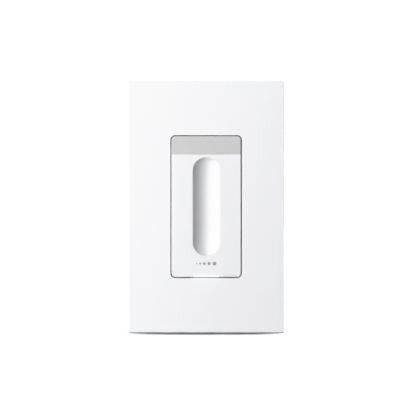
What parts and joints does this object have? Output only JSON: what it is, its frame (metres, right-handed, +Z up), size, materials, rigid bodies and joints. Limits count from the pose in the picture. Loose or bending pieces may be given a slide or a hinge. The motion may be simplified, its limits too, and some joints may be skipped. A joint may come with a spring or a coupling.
{
  "type": "touch slide dimmer switch",
  "caption": "Wall dimmer with a touch slide groove, sensor window and light bar, screwless cover plate, metal strap, back case and side screw terminals.",
  "frame": {"origin": "middle of the device in the plane of the finished wall, where the strap's ears and the cover plate's rim seat", "axes": "+Z up along the device's length, +Y back into the wall, so the front faces -Y"},
  "size_m": [0.0732, 0.0423, 0.1186],
  "materials": {
    "white_cover": "fine satin white",
    "white_face": "satin white",
    "grey_window": "satin light grey, infrared-clear",
    "light_pipe": "clear, lit bluish white",
    "dark_plastic": "moulded black",
    "aluminium": "brushed sheet",
    "steel": "zinc plated",
    "brass": "brass",
    "copper": "copper",
    "green_screw": "green dyed steel",
    "circuit_board": "green solder mask",
    "dark_component": "moulded",
    "yellow_component": "taped or moulded",
    "fuse_glass": "glass sleeve",
    "fibre": "vulcanised fibre",
    "label": "plain label"
  },
  "bodies": {
    "housing": {"back_case": "dark_plastic", "board_connector": "dark_component", "case_screw_1": "steel", "case_screw_2": "steel", "case_screw_3": "steel", "case_screw_4": "steel", "choke": "copper", "control_board": "circuit_board", "electrolytic_capacitor": "dark_component", "face_panel": "white_face", "film_capacitor": "yellow_component", "fixed_contact": "brass", "front_frame": "dark_plastic", "fuse": "fuse_glass", "heat_sink_left": "aluminium", "heat_sink_right": "aluminium", "lever_pin": "steel", "light_pipe": "light_pipe", "light_sensor": "dark_component", "mosfet_left": "dark_component", "mosfet_right": "dark_component", "motion_sensor": "steel", "mounting_screw_bottom": "steel", "mounting_screw_top": "steel", "plate_screw_bottom": "white_cover", "plate_screw_top": "white_cover", "power_board": "circuit_board", "rating_label": "label", "retainer_washer_bottom": "fibre", "retainer_washer_top": "fibre", "sensor_window": "grey_window", "setup_switch": "dark_component", "status_led": "light_pipe", "sub_plate": "white_cover", "terminal_plate_1": "brass", "terminal_plate_2": "brass", "terminal_plate_3": "brass", "terminal_plate_4": "brass", "touch_electrode": "copper", "transformer": "yellow_component", "wireless_module": "steel", "yoke": "aluminium"},
    "plate": {"wall_plate": "white_cover"},
    "air_gap": {"air_gap_slider": "white_face"},
    "lever": {"contact_lever": "dark_plastic", "moving_contact": "copper"},
    "button": {"setup_button": "white_face"},
    "ground_clamp_body": {"ground_clamp": "steel"},
    "ground_screw_body": {"ground_screw": "green_screw"},
    "clamp_1": {"clamp_plate_1": "steel"},
    "screw_1": {"terminal_screw_1": "brass"},
    "clamp_2": {"clamp_plate_2": "steel"},
    "screw_2": {"terminal_screw_2": "brass"},
    "clamp_3": {"clamp_plate_3": "steel"},
    "screw_3": {"terminal_screw_3": "brass"},
    "clamp_4": {"clamp_plate_4": "steel"},
    "screw_4": {"terminal_screw_4": "brass"}
  },
  "joints": [
    {"name": "wall_plate_pull", "type": "slide", "parent": "housing", "child": "plate", "axis": [0, -1, 0], "range_m": [0, 0.02]},
    {"name": "air_gap_pull", "type": "slide", "parent": "housing", "child": "air_gap", "axis": [0, -1, 0], "range_m": [0, 0.003]},
    {"name": "contact_lever_turn", "type": "hinge", "parent": "housing", "child": "lever", "pos_m": [0.004, 0.0086, -0.0277], "axis": [0, 0, 1], "range_deg": [-23.6, 0]},
    {"name": "setup_button_press", "type": "slide", "parent": "housing", "child": "button", "axis": [0, 1, 0], "range_m": [0, 0.0005], "stiffness_N_per_m": 2000, "springref_m": -0.0005},
    {"name": "clamp_1_slide", "type": "slide", "parent": "housing", "child": "clamp_1", "axis": [1, 0, 0], "range_m": [0, 0.0024]},
    {"name": "screw_1_turn", "type": "hinge", "parent": "clamp_1", "child": "screw_1", "pos_m": [0.0184, 0.022, 0.0155], "axis": [1, 0, 0], "range_deg": [0, 1088.5]},
    {"name": "clamp_2_slide", "type": "slide", "parent": "housing", "child": "clamp_2", "axis": [1, 0, 0], "range_m": [0, 0.0024]},
    {"name": "screw_2_turn", "type": "hinge", "parent": "clamp_2", "child": "screw_2", "pos_m": [0.0184, 0.022, -0.0155], "axis": [1, 0, 0], "range_deg": [0, 1088.5]},
    {"name": "clamp_3_slide", "type": "slide", "parent": "housing", "child": "clamp_3", "axis": [-1, 0, 0], "range_m": [0, 0.0024]},
    {"name": "screw_3_turn", "type": "hinge", "parent": "clamp_3", "child": "screw_3", "pos_m": [-0.0184, 0.022, 0.0155], "axis": [-1, 0, 0], "range_deg": [0, 1088.5]},
    {"name": "clamp_4_slide", "type": "slide", "parent": "housing", "child": "clamp_4", "axis": [-1, 0, 0], "range_m": [0, 0.0024]},
    {"name": "screw_4_turn", "type": "hinge", "parent": "clamp_4", "child": "screw_4", "pos_m": [-0.0184, 0.022, -0.0155], "axis": [-1, 0, 0], "range_deg": [0, 1088.5]},
    {"name": "ground_clamp_slide", "type": "slide", "parent": "housing", "child": "ground_clamp_body", "axis": [0, 0, -1], "range_m": [0, 0.0024]},
    {"name": "ground_screw_turn", "type": "hinge", "parent": "ground_clamp_body", "child": "ground_screw_body", "pos_m": [-0.0155, 0.0048, -0.0424], "axis": [0, 0, -1], "range_deg": [0, 1088.5]}
  ],
  "couplings": [
    {"joint": "contact_lever_turn", "follows": "air_gap_pull", "rad_per_m": -137.17},
    {"joint": "screw_1_turn", "follows": "clamp_1_slide", "rad_per_m": 7913.3},
    {"joint": "screw_2_turn", "follows": "clamp_2_slide", "rad_per_m": 7913.3},
    {"joint": "screw_3_turn", "follows": "clamp_3_slide", "rad_per_m": 7913.3},
    {"joint": "screw_4_turn", "follows": "clamp_4_slide", "rad_per_m": 7913.3},
    {"joint": "ground_screw_turn", "follows": "ground_clamp_slide", "rad_per_m": 7913.3}
  ]
}
